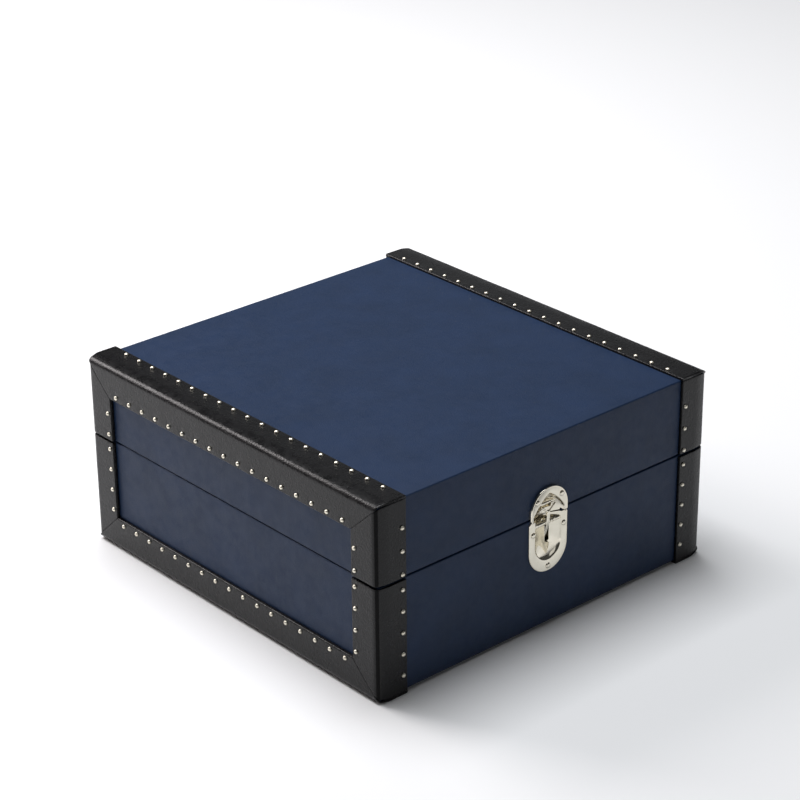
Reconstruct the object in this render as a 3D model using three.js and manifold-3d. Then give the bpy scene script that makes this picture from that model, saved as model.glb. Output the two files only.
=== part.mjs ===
// A jewellery case built like a small trunk: leather over a wooden base and lid, leather trims
// around both ends, a rocker catch on the front, two hinges at the back and a lift-out tray.
// Millimetres, +Z up. X runs along the front, the catch faces -Y, the hinges are at +Y.
// The origin is the centre of the footprint, on the surface that the case stands on.
import * as THREE from "three";
import { mergeVertices } from "three/addons/utils/BufferGeometryUtils.js";
import Module from "manifold-3d";

const wasm = await Module();
wasm.setup();

// Whole case
const WIDTH = 300;
const DEPTH = 305;
const HEIGHT = 143;
const PARTING = 84.5;
const GLUE = 0.2; // left between two pieces that are glued face to face
const SEAM = 0.3; // left between two trims that meet

// Trims around the two ends
const BAND = 25.5; // width of a trim on an end face
const FLANGE = 25; // width of a trim on the front, top, back and bottom
const TRIM_PROUD = 2;
const END_PROUD = 2.8;
const END_ROUND = 5; // radius of the edges of the end faces
const FLANGE_ROUND = 2; // radius of the edges along X
const TRIM_GAP = 2; // between lid trims and base trims

// Leather, wood and lining
const LEATHER = 1.2;
const COVER_GAP = 0.8; // between the covers of base and lid
const WOOD = 8;
const LINING = 1.5;

// Catch
const SPLIT = 82.6; // height of the split between its two plates
const PLATE_HALF_WIDTH = 17.5;
const LID_PLATE_RADIUS = 16.8;
const BASE_PLATE_THICK = 1.3;
const LID_PLATE_THICK = 2;
const PLATE_TOP = 105;
const PLATE_BOTTOM = 42;
const PLATE_CORNER = 1.5; // radius of the plates' corners at the split
const DISH_HALF_WIDTH = 11.6;
const DISH_DEPTH = 4;
const DISH_WALL = 1;
const DISH_BOTTOM = 51;
const ARCH_TOP = 99.5;
const SLOT_HALF_WIDTH = 1.9; // the slot in the dish that the lever's tail rocks into
const SLOT_DEPTH = 7.2;
const SLOT_BOTTOM = 63.9;
const RIB_OUT = 1.2; // from the cover's face to the ridge of the rib that the slot is cut in
const PIN_HEIGHT = 78;
const PIN_OUT = -1; // from the cover's face to the pin's axis, which lies in the dish
const PIN_RADIUS = 0.9;
const KNUCKLE_RADIUS = 2.1;
const LEVER_BOTTOM = 65;
const LEVER_TOP = 91.5;
const LEVER_HALF_THICK = 1.4;
const FORK_BOTTOM = 84.8; // height where the lever divides into two arms
const FORK_HALF_WIDTH = 7;
const FORK_ARM = 1.5; // width of an arm's end
const FORK_BACK = 0.05; // from the cover's face to the fork's back, just in front of the keeper
const FORK_FRONT = 1.8;
const KEEPER_OUT = -1.8; // from the cover's face to the keeper's axis
const KEEPER_HEIGHT = 92;
const KEEPER_RADIUS = 1.6;
const KEEPER_HALF_WIDTH = 8;

// Hinges
const HINGE_X = 78;
const HINGE_HALF_WIDTH = 16;
const LEAF_HEIGHT = 21;
const LEAF_THICK = 1.2;
const BARREL_RADIUS = 2.4;
const BARREL_BEHIND = 1.2; // from the trims' back face to the barrel's axis
const HINGE_KNUCKLES = 5;

// Tray
const TRAY_FLOOR = 50.3; // height of the tray's underside
const TRAY_HEIGHT = 29;
const TRAY_CLEARANCE = 1.3;
const TRAY_WALL = 3;
const TRAY_DIVIDER = 2.5;
const ROLLS = 5;

// Planes that follow from the driving dimensions
const faceY = DEPTH / 2 - TRIM_PROUD; // outer face of the blue cover, front and back
const topZ = HEIGHT - TRIM_PROUD;
const bottomZ = TRIM_PROUD;
const endX = WIDTH / 2 - END_PROUD; // outer face of the end panels
const woodX = endX - LEATHER - GLUE;
const woodY = faceY - LEATHER - GLUE;
const woodBottom = bottomZ + LEATHER + GLUE;
const woodTop = topZ - LEATHER - GLUE;
const rimBase = PARTING - COVER_GAP / 2;
const rimLid = PARTING + COVER_GAP / 2;
const cavityX = woodX - WOOD;
const cavityY = woodY - WOOD;
const cavityBottom = woodBottom + WOOD;
const cavityTop = woodTop - WOOD;
const liningX = cavityX - GLUE - LINING;
const liningY = cavityY - GLUE - LINING;
const liningBottom = cavityBottom + GLUE + LINING;
const liningTop = cavityTop - GLUE - LINING;
const windowY = DEPTH / 2 - BAND;
const windowBottom = BAND;
const windowTop = HEIGHT - BAND;
const hingeY = DEPTH / 2 + BARREL_BEHIND;

const MATERIALS = {
  navy_leather: { color: 0x2f3a55, roughness: 0.55, metalness: 0 },
  black_leather: { color: 0x1b1c1f, roughness: 0.38, metalness: 0 },
  wood: { color: 0xb08a5c, roughness: 0.7, metalness: 0 },
  suede: { color: 0xb9b1a4, roughness: 0.95, metalness: 0 },
  nickel: { color: 0xd9d4c8, roughness: 0.15, metalness: 1 },
  spring_steel: { color: 0x8c8f94, roughness: 0.35, metalness: 1 },
};

// ---------------------------------------------------------------- solids

function solidOf(geometry) {
  geometry.deleteAttribute("normal");
  geometry.deleteAttribute("uv");
  const merged = mergeVertices(geometry, 1e-4);
  return new wasm.Manifold(
    new wasm.Mesh({
      numProp: 3,
      vertProperties: merged.attributes.position.array,
      triVerts: Uint32Array.from(merged.index.array),
    }),
  );
}

function geometryOf(solid) {
  const mesh = solid.getMesh();
  const geometry = new THREE.BufferGeometry();
  geometry.setAttribute("position", new THREE.BufferAttribute(mesh.vertProperties, 3));
  geometry.setIndex(new THREE.BufferAttribute(mesh.triVerts, 1));
  const faceted = geometry.toNonIndexed();
  faceted.computeVertexNormals();
  return faceted;
}

function box([x0, x1], [y0, y1], [z0, z1]) {
  const geometry = new THREE.BoxGeometry(x1 - x0, y1 - y0, z1 - z0);
  geometry.translate((x0 + x1) / 2, (y0 + y1) / 2, (z0 + z1) / 2);
  return solidOf(geometry);
}

// The directions that an extrusion's own x, y and depth take in the case's frame.
const PLANES = {
  yz: [new THREE.Vector3(0, 1, 0), new THREE.Vector3(0, 0, 1), new THREE.Vector3(1, 0, 0)],
  xz: [new THREE.Vector3(1, 0, 0), new THREE.Vector3(0, 0, 1), new THREE.Vector3(0, -1, 0)],
  xy: [new THREE.Vector3(1, 0, 0), new THREE.Vector3(0, 1, 0), new THREE.Vector3(0, 0, 1)],
};

// An outline in one plane, extruded from one station to a further one along the plane's normal.
function prism(shape, plane, from, to, curveSegments = 6) {
  const geometry = new THREE.ExtrudeGeometry(shape, {
    depth: to - from,
    bevelEnabled: false,
    curveSegments,
  });
  geometry.translate(0, 0, from);
  geometry.applyMatrix4(new THREE.Matrix4().makeBasis(...PLANES[plane]));
  return solidOf(geometry);
}

function polygon(...points) {
  return new THREE.Shape(points.map(([u, v]) => new THREE.Vector2(u, v)));
}

function roundedRectangle(u0, u1, v0, v1, radius) {
  const shape = new THREE.Shape();
  shape.moveTo(u0 + radius, v0);
  shape.lineTo(u1 - radius, v0);
  shape.absarc(u1 - radius, v0 + radius, radius, -Math.PI / 2, 0);
  shape.lineTo(u1, v1 - radius);
  shape.absarc(u1 - radius, v1 - radius, radius, 0, Math.PI / 2);
  shape.lineTo(u0 + radius, v1);
  shape.absarc(u0 + radius, v1 - radius, radius, Math.PI / 2, Math.PI);
  shape.lineTo(u0, v0 + radius);
  shape.absarc(u0 + radius, v0 + radius, radius, Math.PI, 1.5 * Math.PI);
  return shape;
}

// A round bar along X, centred on (y, z).
function barX(radius, x0, x1, y, z, sides = 24) {
  const geometry = new THREE.CylinderGeometry(radius, radius, x1 - x0, sides);
  geometry.rotateZ(Math.PI / 2);
  geometry.translate((x0 + x1) / 2, y, z);
  return solidOf(geometry);
}

const symmetric = (half) => [-half, half];
const outward = (distance) => -faceY - distance; // a place in front of the cover's front face

// ---------------------------------------------------------------- scene

const jewelleryCase = new THREE.Group();

function add(name, material, solid) {
  const mesh = new THREE.Mesh(
    geometryOf(solid),
    new THREE.MeshStandardMaterial(MATERIALS[material]),
  );
  mesh.name = name;
  jewelleryCase.add(mesh);
}

// ---------------------------------------------------------------- catch outlines

// The upper plate: an arch whose straight sides run down to the split.
function lidPlateOutline() {
  const shape = new THREE.Shape();
  const centre = PLATE_TOP - LID_PLATE_RADIUS;
  const cornerX = LID_PLATE_RADIUS - PLATE_CORNER;
  const cornerZ = SPLIT + SEAM + PLATE_CORNER;
  shape.moveTo(-cornerX, SPLIT + SEAM);
  shape.lineTo(cornerX, SPLIT + SEAM);
  shape.absarc(cornerX, cornerZ, PLATE_CORNER, -Math.PI / 2, 0);
  shape.lineTo(LID_PLATE_RADIUS, centre);
  shape.absarc(0, centre, LID_PLATE_RADIUS, 0, Math.PI);
  shape.lineTo(-LID_PLATE_RADIUS, cornerZ);
  shape.absarc(-cornerX, cornerZ, PLATE_CORNER, Math.PI, 1.5 * Math.PI);
  return shape;
}

// The lower plate: a round-bottomed shield whose straight sides run up to the split.
function basePlateOutline() {
  const shape = new THREE.Shape();
  const centre = PLATE_BOTTOM + PLATE_HALF_WIDTH;
  const cornerX = PLATE_HALF_WIDTH - PLATE_CORNER;
  const cornerZ = SPLIT - SEAM - PLATE_CORNER;
  shape.moveTo(cornerX, SPLIT - SEAM);
  shape.lineTo(-cornerX, SPLIT - SEAM);
  shape.absarc(-cornerX, cornerZ, PLATE_CORNER, Math.PI / 2, Math.PI);
  shape.lineTo(-PLATE_HALF_WIDTH, centre);
  shape.absarc(0, centre, PLATE_HALF_WIDTH, Math.PI, 2 * Math.PI);
  shape.lineTo(PLATE_HALF_WIDTH, cornerZ);
  shape.absarc(cornerX, cornerZ, PLATE_CORNER, 0, Math.PI / 2);
  return shape;
}

// The hollow of a plate, grown by the same amount all round.
function lidHollow(grow, bottom) {
  const radius = DISH_HALF_WIDTH + grow;
  const centre = ARCH_TOP - DISH_HALF_WIDTH;
  const shape = new THREE.Shape();
  shape.moveTo(-radius, bottom);
  shape.lineTo(radius, bottom);
  shape.lineTo(radius, centre);
  shape.absarc(0, centre, radius, 0, Math.PI);
  return shape;
}

function baseHollow(grow, top) {
  const radius = DISH_HALF_WIDTH + grow;
  const centre = DISH_BOTTOM + DISH_HALF_WIDTH;
  const shape = new THREE.Shape();
  shape.moveTo(radius, top);
  shape.lineTo(-radius, top);
  shape.lineTo(-radius, centre);
  shape.absarc(0, centre, radius, Math.PI, 2 * Math.PI);
  return shape;
}

// Room that the hollows take in the cover and in the wood behind the plates.
function pocket(shape) {
  return prism(shape, "xz", faceY - DISH_DEPTH - DISH_WALL - GLUE, faceY + 1);
}

// The slot behind the lever's tail, grown by the same amount to its sides, below and behind.
function slot(grow) {
  return box(
    symmetric(SLOT_HALF_WIDTH + grow),
    [outward(RIB_OUT + 1), outward(-SLOT_DEPTH - grow)],
    [SLOT_BOTTOM - grow, PIN_HEIGHT + grow],
  );
}

const lidPocket = pocket(lidHollow(DISH_WALL + GLUE, rimLid - 1));
const basePocket = pocket(baseHollow(DISH_WALL + GLUE, rimBase + 1)).add(slot(DISH_WALL + GLUE));

// ---------------------------------------------------------------- carcasses, covers and linings

function addCarcasses() {
  const outerX = symmetric(woodX);
  const outerY = symmetric(woodY);
  const base = box(outerX, outerY, [woodBottom, rimBase - LEATHER - GLUE])
    .subtract(box(symmetric(cavityX), symmetric(cavityY), [cavityBottom, rimBase + 1]))
    .subtract(basePocket);
  const lid = box(outerX, outerY, [rimLid + LEATHER + GLUE, woodTop])
    .subtract(box(symmetric(cavityX), symmetric(cavityY), [rimLid - 1, cavityTop]))
    .subtract(lidPocket);
  add("base_carcass", "wood", base);
  add("lid_carcass", "wood", lid);
}

// One sheet of leather round the front, the back and the face between them, whose two ends fold
// in over the rims.
function addCovers() {
  const x = symmetric(woodX);
  const inner = symmetric(faceY - LEATHER);
  const opening = box(
    symmetric(WIDTH),
    symmetric(cavityY),
    [rimBase - 2 * LEATHER, rimLid + 2 * LEATHER],
  );
  const base = box(x, symmetric(faceY), [bottomZ, rimBase])
    .subtract(box(symmetric(WIDTH), inner, [bottomZ + LEATHER, rimBase - LEATHER]))
    .subtract(opening)
    .subtract(basePocket);
  const lid = box(x, symmetric(faceY), [rimLid, topZ])
    .subtract(box(symmetric(WIDTH), inner, [rimLid + LEATHER, topZ - LEATHER]))
    .subtract(opening)
    .subtract(lidPocket);
  add("base_cover", "navy_leather", base);
  add("lid_cover", "navy_leather", lid);
}

// A leather panel on an end, which folds in over the end's rim.
function endPanel(sign, [z0, z1], [fold0, fold1]) {
  const span = (near, far) => [sign * near, sign * far].sort((a, b) => a - b);
  const face = box(span(endX - LEATHER, endX), symmetric(faceY), [z0, z1]);
  const fold = box(span(cavityX, endX), symmetric(cavityY - GLUE), [fold0, fold1]);
  return face.add(fold);
}

function addEndPanels() {
  for (const [side, sign] of [["left", -1], ["right", 1]]) {
    const base = endPanel(sign, [bottomZ, rimBase], [rimBase - LEATHER, rimBase]);
    const lid = endPanel(sign, [rimLid, topZ], [rimLid, rimLid + LEATHER]);
    add(`base_end_panel_${side}`, "navy_leather", base);
    add(`lid_end_panel_${side}`, "navy_leather", lid);
  }
}

function addLinings() {
  const outerX = symmetric(cavityX - GLUE);
  const outerY = symmetric(cavityY - GLUE);
  const base = box(outerX, outerY, [cavityBottom + GLUE, rimBase - GLUE]).subtract(
    box(symmetric(liningX), symmetric(liningY), [liningBottom, rimBase + 1]),
  );
  const lid = box(outerX, outerY, [rimLid + GLUE, cavityTop - GLUE]).subtract(
    box(symmetric(liningX), symmetric(liningY), [rimLid - 1, liningTop]),
  );
  add("base_lining", "suede", base);
  add("lid_lining", "suede", lid);
}

// A padded panel under the top of the lid.
function addLidPad() {
  const margin = 3;
  const thick = 8;
  const halfX = liningX - margin;
  const halfY = liningY - margin;
  const shape = roundedRectangle(-halfX, halfX, -halfY, halfY, 6);
  add("lid_pad", "suede", prism(shape, "xy", liningTop - GLUE - thick, liningTop - GLUE, 4));
}

// ---------------------------------------------------------------- trims

// The whole leather edging of both ends, before it is cut into strips.
function trimShell() {
  const halfX = WIDTH / 2;
  const halfY = DEPTH / 2;
  const profile = roundedRectangle(-halfY, halfY, 0, HEIGHT, FLANGE_ROUND);
  const front = roundedRectangle(-halfX, halfX, 0, HEIGHT, END_ROUND);
  const plan = roundedRectangle(-halfX, halfX, -halfY, halfY, END_ROUND);
  const block = prism(profile, "yz", -halfX, halfX, 3)
    .intersect(prism(front, "xz", -halfY, halfY))
    .intersect(prism(plan, "xy", 0, HEIGHT));
  const inside = box(
    symmetric(endX + GLUE),
    symmetric(faceY + GLUE),
    [bottomZ - GLUE, topZ + GLUE],
  );
  const middle = box(symmetric(halfX - FLANGE), symmetric(DEPTH), [-1, HEIGHT + 1]);
  const windows = box(symmetric(WIDTH), symmetric(windowY), [windowBottom, windowTop]);
  return block.subtract(inside).subtract(middle).subtract(windows);
}

// Outlines, in the YZ plane, of the regions that the mitres cut the edging into. A mitre runs from
// a corner of the end panel's window to where the top or bottom strip turns over the corner.
function stripOutlines() {
  const outerY = DEPTH / 2;
  const past = outerY + 1;
  const half = SEAM / 2;
  const lidBottom = PARTING + TRIM_GAP / 2;
  const baseTop = PARTING - TRIM_GAP / 2;
  const outlines = {
    lid_trim_top: polygon(
      [-windowY, windowTop + half],
      [windowY, windowTop + half],
      [outerY, topZ + half],
      [past, topZ + half],
      [past, HEIGHT + 1],
      [-past, HEIGHT + 1],
      [-past, topZ + half],
      [-outerY, topZ + half],
    ),
    base_trim_bottom: polygon(
      [windowY, windowBottom - half],
      [-windowY, windowBottom - half],
      [-outerY, bottomZ - half],
      [-past, bottomZ - half],
      [-past, -1],
      [past, -1],
      [past, bottomZ - half],
      [outerY, bottomZ - half],
    ),
  };
  for (const [place, sign] of [["front", -1], ["back", 1]]) {
    outlines[`lid_trim_${place}`] = polygon(
      [sign * (windowY - 1), lidBottom],
      [sign * past, lidBottom],
      [sign * past, topZ - half],
      [sign * outerY, topZ - half],
      [sign * windowY, windowTop - half],
      [sign * (windowY - 1), windowTop - half],
    );
    outlines[`base_trim_${place}`] = polygon(
      [sign * (windowY - 1), baseTop],
      [sign * past, baseTop],
      [sign * past, bottomZ + half],
      [sign * outerY, bottomZ + half],
      [sign * windowY, windowBottom + half],
      [sign * (windowY - 1), windowBottom + half],
    );
  }
  return outlines;
}

function addTrims() {
  const shell = trimShell();
  for (const [strip, outline] of Object.entries(stripOutlines())) {
    const left = shell.intersect(prism(outline, "yz", -WIDTH, 0));
    const right = shell.intersect(prism(outline, "yz", 0, WIDTH));
    add(`${strip}_left`, "black_leather", left);
    add(`${strip}_right`, "black_leather", right);
  }
}

// ---------------------------------------------------------------- catch

function pinBar(radius, x0, x1) {
  return barX(radius, x0, x1, outward(PIN_OUT), PIN_HEIGHT);
}

const pinBore = pinBar(PIN_RADIUS + 0.07, ...symmetric(DISH_HALF_WIDTH - 0.3));
const hubHalfWidth = 2.2;
const springEnd = 4.7; // the spring takes the room between the lever's hub and the right knuckle

// A rib up the middle of the base plate's dish, from a point near its bottom to the knuckles.
function dishRib() {
  const foot = outward(-DISH_DEPTH - 0.4);
  const section = polygon(
    [-3.3, foot],
    [-2.1, outward(-0.6)],
    [0, outward(RIB_OUT)],
    [2.1, outward(-0.6)],
    [3.3, foot],
  );
  const top = PIN_HEIGHT - KNUCKLE_RADIUS - 0.5;
  const side = polygon(
    [foot, DISH_BOTTOM + 1],
    [outward(-2.4), DISH_BOTTOM + 1.6],
    [outward(RIB_OUT), SLOT_BOTTOM - 1.5],
    [outward(RIB_OUT), top],
    [foot, top],
  );
  const length = prism(section, "xy", DISH_BOTTOM, top);
  return length.intersect(prism(side, "yz", ...symmetric(DISH_HALF_WIDTH)));
}

// A dished shield. Its knuckles stand out from the dish's two sides and hold the pin, and the
// slot for the lever's tail runs through its rib.
function addBasePlate() {
  const end = DISH_HALF_WIDTH + DISH_WALL / 2;
  const knuckles = [
    [-end, -hubHalfWidth - SEAM],
    [springEnd + SEAM, end],
  ];
  const backing = baseHollow(DISH_WALL, SPLIT - SEAM);
  const dish = baseHollow(0, SPLIT + 1);
  const behindDish = box(symmetric(WIDTH), [outward(-DISH_DEPTH), 0], [0, HEIGHT]);
  let plate = prism(basePlateOutline(), "xz", faceY + 0.1, faceY + BASE_PLATE_THICK, 12)
    .add(prism(backing, "xz", faceY - DISH_DEPTH - DISH_WALL, faceY + 0.5))
    .subtract(prism(dish, "xz", faceY - DISH_DEPTH, faceY + LID_PLATE_THICK))
    .add(slot(DISH_WALL).intersect(behindDish))
    .add(dishRib())
    .subtract(slot(0));
  for (const [x0, x1] of knuckles) plate = plate.add(pinBar(KNUCKLE_RADIUS, x0, x1));
  add("catch_base_plate", "nickel", plate.subtract(pinBore));
}

function addLidPlate() {
  const backing = lidHollow(DISH_WALL, rimLid);
  const dish = lidHollow(0, SPLIT - 1);
  const plate = prism(lidPlateOutline(), "xz", faceY + 0.1, faceY + LID_PLATE_THICK, 12)
    .add(prism(backing, "xz", faceY - DISH_DEPTH - DISH_WALL, faceY + 0.5))
    .subtract(prism(dish, "xz", faceY - DISH_DEPTH, faceY + 2 * LID_PLATE_THICK));
  add("catch_lid_plate", "nickel", plate);
}

// A bar on two posts, across the lid plate's hollow, just behind the lever's fork.
function addKeeper() {
  const y0 = outward(KEEPER_OUT);
  let keeper = barX(KEEPER_RADIUS, ...symmetric(KEEPER_HALF_WIDTH), y0, KEEPER_HEIGHT);
  for (const sign of [-1, 1]) {
    const x = [sign * (KEEPER_HALF_WIDTH - 1.4), sign * KEEPER_HALF_WIDTH].sort((a, b) => a - b);
    const y = [y0, outward(GLUE - DISH_DEPTH)];
    keeper = keeper.add(box(x, y, [KEEPER_HEIGHT - 1, KEEPER_HEIGHT + 1]));
  }
  add("catch_keeper", "nickel", keeper);
}

// A hub, a thumb fin that leans out towards its top, and a fork whose two arms spread in front of
// the keeper. The fin's tail lies in the dish, in front of the slot.
function addLever() {
  const fin = polygon(
    [outward(-4.2), LEVER_BOTTOM + 0.6],
    [outward(-2.6), LEVER_BOTTOM],
    [outward(FORK_FRONT), FORK_BOTTOM + 1.2],
    [outward(FORK_FRONT - 0.5), FORK_BOTTOM + 2.4],
    [outward(FORK_BACK), FORK_BOTTOM + 2.4],
    [outward(FORK_BACK), FORK_BOTTOM],
    [outward(PIN_OUT - 1.4), PIN_HEIGHT + 1],
    [outward(PIN_OUT - 1.9), PIN_HEIGHT - 3],
  );
  const armInside = FORK_HALF_WIDTH - FORK_ARM;
  const fork = polygon(
    [-LEVER_HALF_THICK, FORK_BOTTOM],
    [LEVER_HALF_THICK, FORK_BOTTOM],
    [FORK_HALF_WIDTH, LEVER_TOP - FORK_ARM],
    [FORK_HALF_WIDTH, LEVER_TOP],
    [armInside, LEVER_TOP],
    [0, FORK_BOTTOM + 2.2],
    [-armInside, LEVER_TOP],
    [-FORK_HALF_WIDTH, LEVER_TOP],
    [-FORK_HALF_WIDTH, LEVER_TOP - FORK_ARM],
  );
  const lever = prism(fin, "yz", ...symmetric(LEVER_HALF_THICK))
    .add(pinBar(KNUCKLE_RADIUS, ...symmetric(hubHalfWidth)))
    .add(prism(fork, "xz", faceY + FORK_BACK, faceY + FORK_FRONT - 0.5));
  add("catch_lever", "nickel", lever.subtract(pinBar(PIN_RADIUS + 0.07, ...symmetric(WIDTH))));
}

function addCatchPin() {
  add("catch_pin", "nickel", pinBar(PIN_RADIUS, -DISH_HALF_WIDTH + 0.5, DISH_HALF_WIDTH - 0.5));
}

function addCatchSpring() {
  const spring = pinBar(KNUCKLE_RADIUS - 0.5, hubHalfWidth + SEAM, springEnd).subtract(
    pinBar(PIN_RADIUS + 0.2, -WIDTH, WIDTH),
  );
  add("catch_spring", "spring_steel", spring);
}

function addCatchScrews() {
  const places = [
    ["catch_screw_lid_left", -11.1, 96.3, LID_PLATE_THICK],
    ["catch_screw_lid_right", 11.1, 96.3, LID_PLATE_THICK],
    ["catch_screw_base_left", -13.9, 73.2, BASE_PLATE_THICK],
    ["catch_screw_base_right", 13.9, 73.2, BASE_PLATE_THICK],
    ["catch_screw_bottom", 0, 46, BASE_PLATE_THICK],
  ];
  for (const [name, x, z, thick] of places) {
    const dome = new THREE.LatheGeometry(
      [[0, 0], [2, 0], [1.7, 0.5], [1, 0.9], [0, 1]].map(([r, h]) => new THREE.Vector2(r, h)),
      16,
    );
    dome.rotateX(Math.PI);
    dome.translate(x, outward(thick + 0.1), z);
    add(name, "nickel", solidOf(dome));
  }
}

// ---------------------------------------------------------------- hinges

// A leaf screwed to the back of the cover, with every other knuckle of the barrel.
function hingeLeaf(centreX, direction, firstKnuckle) {
  const barrel = (radius, x0, x1) => barX(radius, x0, x1, hingeY, PARTING);
  const z = [PARTING, PARTING + direction * LEAF_HEIGHT].sort((a, b) => a - b);
  const leafY = [faceY + 0.1, faceY + 0.1 + LEAF_THICK];
  const ends = [centreX - HINGE_HALF_WIDTH, centreX + HINGE_HALF_WIDTH];
  const pitch = (ends[1] - ends[0]) / HINGE_KNUCKLES;
  let leaf = box(ends, leafY, z);
  const z0 = PARTING + direction * 0.2;
  const z1 = PARTING + direction * BARREL_RADIUS;
  leaf = leaf.add(
    box(ends, [leafY[0], hingeY], [z0, z1].sort((a, b) => a - b)),
  );
  leaf = leaf.add(barrel(BARREL_RADIUS, ...ends));
  for (let k = 0; k < HINGE_KNUCKLES; k++) {
    if (k % 2 === firstKnuckle) continue;
    const x0 = ends[0] + k * pitch - SEAM / 2;
    const room = box(
      [x0, x0 + pitch + SEAM],
      [leafY[0] - 1, hingeY + 2 * BARREL_RADIUS],
      symmetric(BARREL_RADIUS + 0.4).map((d) => PARTING + d),
    );
    leaf = leaf.subtract(room);
  }
  return leaf.subtract(barrel(PIN_RADIUS + 0.07, -WIDTH, WIDTH));
}

function addHinges() {
  for (const [side, x] of [["left", -HINGE_X], ["right", HINGE_X]]) {
    add(`hinge_base_leaf_${side}`, "nickel", hingeLeaf(x, -1, 0));
    add(`hinge_lid_leaf_${side}`, "nickel", hingeLeaf(x, 1, 1));
    const ends = [x - HINGE_HALF_WIDTH, x + HINGE_HALF_WIDTH];
    add(`hinge_pin_${side}`, "nickel", barX(PIN_RADIUS, ...ends, hingeY, PARTING));
  }
}

// ---------------------------------------------------------------- inside

// One long divider and two short ones, on whose tops the tray rests.
function addBaseDividers() {
  const half = TRAY_DIVIDER / 2;
  const z = [liningBottom + GLUE, TRAY_FLOOR - GLUE];
  const wallY = liningY - GLUE;
  add("base_divider_long", "suede", box(symmetric(liningX - GLUE), symmetric(half), z));
  add("base_divider_front", "suede", box([-half, half], [-wallY, -half - GLUE], z));
  add("base_divider_back", "suede", box([-half, half], [half + GLUE, wallY], z));
}

const trayX = liningX - TRAY_CLEARANCE;
const trayY = liningY - TRAY_CLEARANCE;
const trayInsideX = trayX - TRAY_WALL;
const trayInsideY = trayY - TRAY_WALL;
const trayInsideFloor = TRAY_FLOOR + TRAY_WALL;
const dividerZ = [trayInsideFloor + GLUE, TRAY_FLOOR + TRAY_HEIGHT - 2];
const rowFront = -30; // dividers between the tray's three rows of compartments
const rowBack = 52;
const ringEnd = 30; // right end of the ring rolls

function addTrayBody() {
  const outer = box(symmetric(trayX), symmetric(trayY), [TRAY_FLOOR, TRAY_FLOOR + TRAY_HEIGHT]);
  const inner = box(
    symmetric(trayInsideX),
    symmetric(trayInsideY),
    [trayInsideFloor, TRAY_FLOOR + TRAY_HEIGHT + 1],
  );
  add("tray_body", "suede", outer.subtract(inner));
}

function addTrayDividers() {
  const half = TRAY_DIVIDER / 2;
  const wallX = trayInsideX - GLUE;
  const wallY = trayInsideY - GLUE;
  const front = [-wallY, rowFront - half - GLUE];
  const middle = [rowFront + half + GLUE, rowBack - half - GLUE];
  const back = [rowBack + half + GLUE, wallY];
  const across = (name, x, y) => add(name, "suede", box([x - half, x + half], y, dividerZ));
  const along = (name, x, y) => add(name, "suede", box(x, [y - half, y + half], dividerZ));
  along("tray_divider_row_front", symmetric(wallX), rowFront);
  along("tray_divider_row_back", symmetric(wallX), rowBack);
  across("tray_divider_ring_end", ringEnd, front);
  along("tray_divider_front_right", [ringEnd + half + GLUE, wallX], (front[0] + front[1]) / 2);
  across("tray_divider_middle_left", -trayInsideX / 2, middle);
  across("tray_divider_middle", 0, middle);
  across("tray_divider_middle_right", trayInsideX / 2, middle);
  across("tray_divider_back", 0, back);
}

// Padded rolls, side by side, that hold rings in the grooves between them.
function addRingRolls() {
  const start = -trayInsideY + 0.5;
  const pitch = (rowFront - TRAY_DIVIDER / 2 - 0.5 - start) / ROLLS;
  const x = [-trayInsideX + 0.5, ringEnd - TRAY_DIVIDER / 2 - 0.5];
  for (let k = 0; k < ROLLS; k++) {
    const y0 = start + k * pitch + 0.3;
    const shape = roundedRectangle(
      y0,
      y0 + pitch - 0.6,
      trayInsideFloor + GLUE,
      trayInsideFloor + GLUE + 18,
      7,
    );
    add(`ring_roll_${k + 1}`, "suede", prism(shape, "yz", ...x, 4));
  }
}

// Leather tabs inside the tray's left and right walls, to lift it by.
function addTrayTabs() {
  const tab = roundedRectangle(rowFront + 31, rowFront + 51, 63, 83, 8);
  const inset = GLUE + LEATHER;
  add("tray_tab_left", "navy_leather", prism(tab, "yz", -trayInsideX + GLUE, -trayInsideX + inset));
  add("tray_tab_right", "navy_leather", prism(tab, "yz", trayInsideX - inset, trayInsideX - GLUE));
}

addCarcasses();
addCovers();
addEndPanels();
addLinings();
addLidPad();
addTrims();
addBasePlate();
addLidPlate();
addKeeper();
addLever();
addCatchPin();
addCatchSpring();
addCatchScrews();
addHinges();
addBaseDividers();
addTrayBody();
addTrayDividers();
addRingRolls();
addTrayTabs();

export default jewelleryCase;
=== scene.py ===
"""Looks of a trunk-style leather jewellery case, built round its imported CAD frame.

Helpers take millimetres in the case's frame: X along the front, -Y towards the catch, Z up.
"""

import math

import bmesh
import bpy
import numpy as np
from mathutils import Matrix, Vector, noise


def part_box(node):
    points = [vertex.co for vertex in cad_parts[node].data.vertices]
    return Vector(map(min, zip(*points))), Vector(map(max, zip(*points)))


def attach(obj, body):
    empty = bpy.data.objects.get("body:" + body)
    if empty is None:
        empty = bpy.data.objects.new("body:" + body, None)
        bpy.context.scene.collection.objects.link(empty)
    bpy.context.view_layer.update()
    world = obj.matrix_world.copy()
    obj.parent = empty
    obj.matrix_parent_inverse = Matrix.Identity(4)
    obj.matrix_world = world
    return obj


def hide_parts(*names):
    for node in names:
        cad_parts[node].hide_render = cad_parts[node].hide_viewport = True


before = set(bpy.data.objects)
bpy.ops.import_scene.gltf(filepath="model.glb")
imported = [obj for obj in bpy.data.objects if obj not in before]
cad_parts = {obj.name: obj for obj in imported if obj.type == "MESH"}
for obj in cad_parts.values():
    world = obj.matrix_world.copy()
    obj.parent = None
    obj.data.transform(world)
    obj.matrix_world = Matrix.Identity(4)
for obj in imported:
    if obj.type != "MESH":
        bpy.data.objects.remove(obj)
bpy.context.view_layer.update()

MM = 0.001


def low(node):
    """The lowest corner of a CAD node, in millimetres."""
    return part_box(node)[0] / MM


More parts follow.
